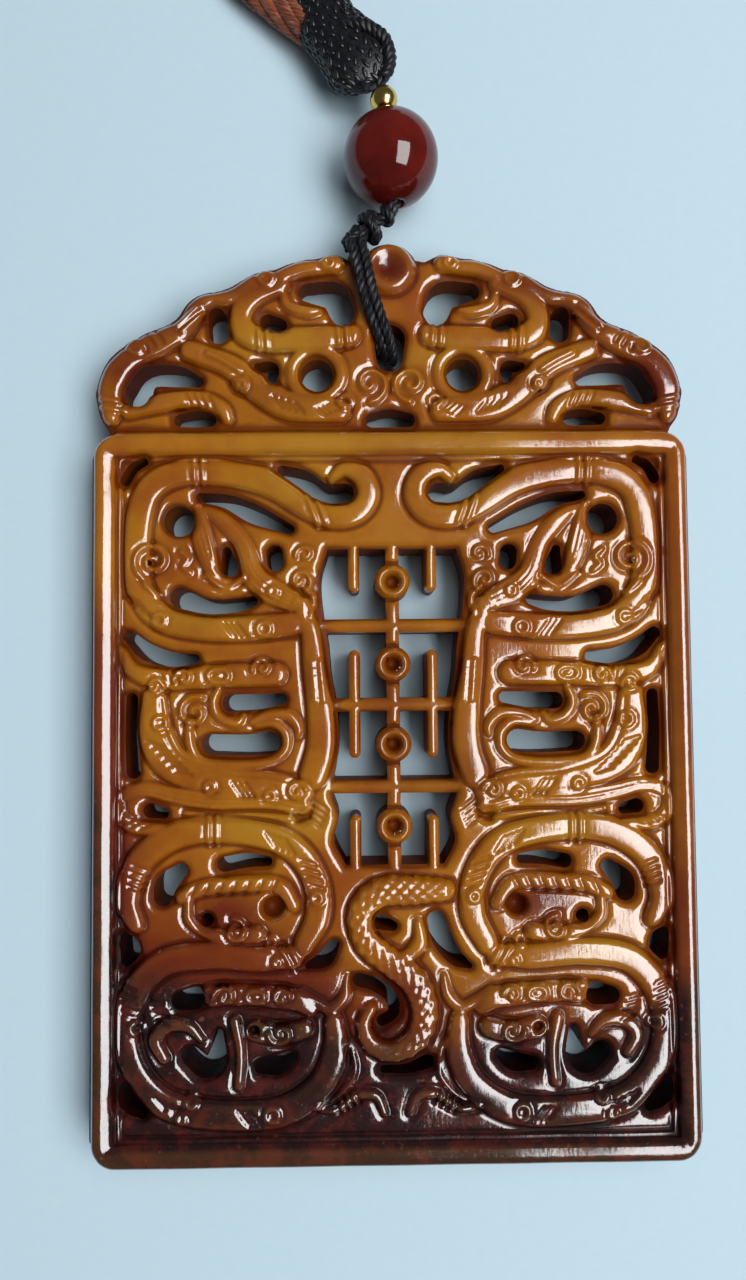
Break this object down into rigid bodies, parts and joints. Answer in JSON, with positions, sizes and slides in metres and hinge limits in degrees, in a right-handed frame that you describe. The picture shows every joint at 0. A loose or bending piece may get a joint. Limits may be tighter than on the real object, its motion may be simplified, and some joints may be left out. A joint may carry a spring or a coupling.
{
  "type": "jade plaque",
  "caption": "Flat pierced jade plaque with a scalloped crest, carved with facing dragons around an openwork lattice, worn on a beaded cord.",
  "frame": {"origin": "middle of the plaque's footprint, on the surface that its back lies on", "axes": "+Z out of the carved face, +Y along the plaque towards its crest, +X to the right seen from the front"},
  "size_m": [0.0704, 0.2003, 0.0104],
  "materials": {
    "jade": "polished honey to red-brown jade, dark maroon at the foot",
    "agate": "polished deep red agate",
    "gold": "polished gold",
    "black_thread": "waxed and braided black thread",
    "brown_thread": "twisted red-brown silk thread"
  },
  "bodies": {
    "root": {"plaque": "jade", "hanging_loop": "black_thread", "knot": "black_thread", "bead_cord": "black_thread", "agate_bead": "agate", "gold_bead": "gold", "braided_sleeve": "black_thread", "neck_cord_left": "brown_thread", "neck_cord_right": "brown_thread", "neck_cord_coil": "brown_thread"}
  },
  "joints": []
}
